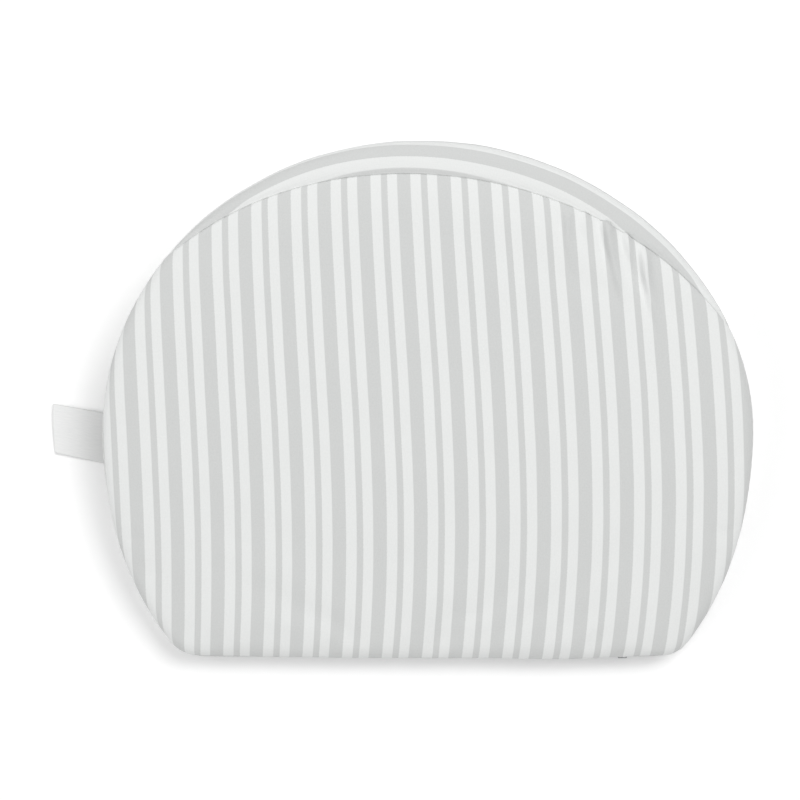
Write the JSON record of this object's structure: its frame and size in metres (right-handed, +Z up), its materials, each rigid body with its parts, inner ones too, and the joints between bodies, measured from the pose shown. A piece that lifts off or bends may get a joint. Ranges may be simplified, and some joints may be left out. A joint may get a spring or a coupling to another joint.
{
  "type": "wedge support pillow",
  "caption": "D-shaped wedge support pillow: foam core in a sewn liner, in a striped zip-off jersey cover with a ribbon tag.",
  "frame": {"origin": "middle of the box of the D outline, on the underside of the flat back panel", "axes": "+X along the width, +Y from the thin straight edge to the thick curved crown, +Z up out of the rest face"},
  "size_m": [0.4553, 0.333, 0.108],
  "materials": {
    "cover_jersey": "matte striped cotton jersey",
    "liner_cloth": "matte nonwoven",
    "foam": null,
    "zip_tape": "woven tape",
    "zip_coil": "moulded nylon coil",
    "zip_metal": "tumbled die-cast zinc",
    "ribbon": "satin ribbon",
    "inner_label": "plain printed-label cloth, left blank"
  },
  "bodies": {
    "pillow": {"foam_core": "foam", "liner_top_panel": "liner_cloth", "liner_base_panel": "liner_cloth", "liner_gusset": "liner_cloth", "liner_edge_strip": "liner_cloth", "law_label": "inner_label", "care_label": "inner_label", "cover_front_panel": "cover_jersey", "cover_back_panel": "cover_jersey", "cover_gusset": "cover_jersey", "cover_edge_strip_lower": "cover_jersey", "cover_edge_strip_upper": "cover_jersey", "zip_tape_upper": "zip_tape", "zip_tape_lower": "zip_tape", "zip_coil_upper": "zip_coil", "zip_coil_lower": "zip_coil", "zip_top_stop_upper": "zip_metal", "zip_top_stop_lower": "zip_metal", "zip_bottom_stop": "zip_metal"},
    "zip_slider": {"zip_slider": "zip_metal"},
    "zip_pull_tab": {"zip_pull_tab": "zip_metal"},
    "side_label": {"side_label": "ribbon"}
  },
  "joints": [
    {"name": "zip_slide", "type": "slide", "parent": "pillow", "child": "zip_slider", "axis": [-1, 0, 0], "range_m": [0, 0.26]},
    {"name": "pull_tab_swing", "type": "hinge", "parent": "zip_slider", "child": "zip_pull_tab", "pos_m": [0.13025, -0.1662, 0.0126], "axis": [0, 0, 1], "range_deg": [0, 175]},
    {"name": "label_flex", "type": "hinge", "parent": "pillow", "child": "side_label", "pos_m": [-0.2108, -0.0255, 0.0021], "axis": [0, 1, 0], "range_deg": [0, 75]}
  ]
}
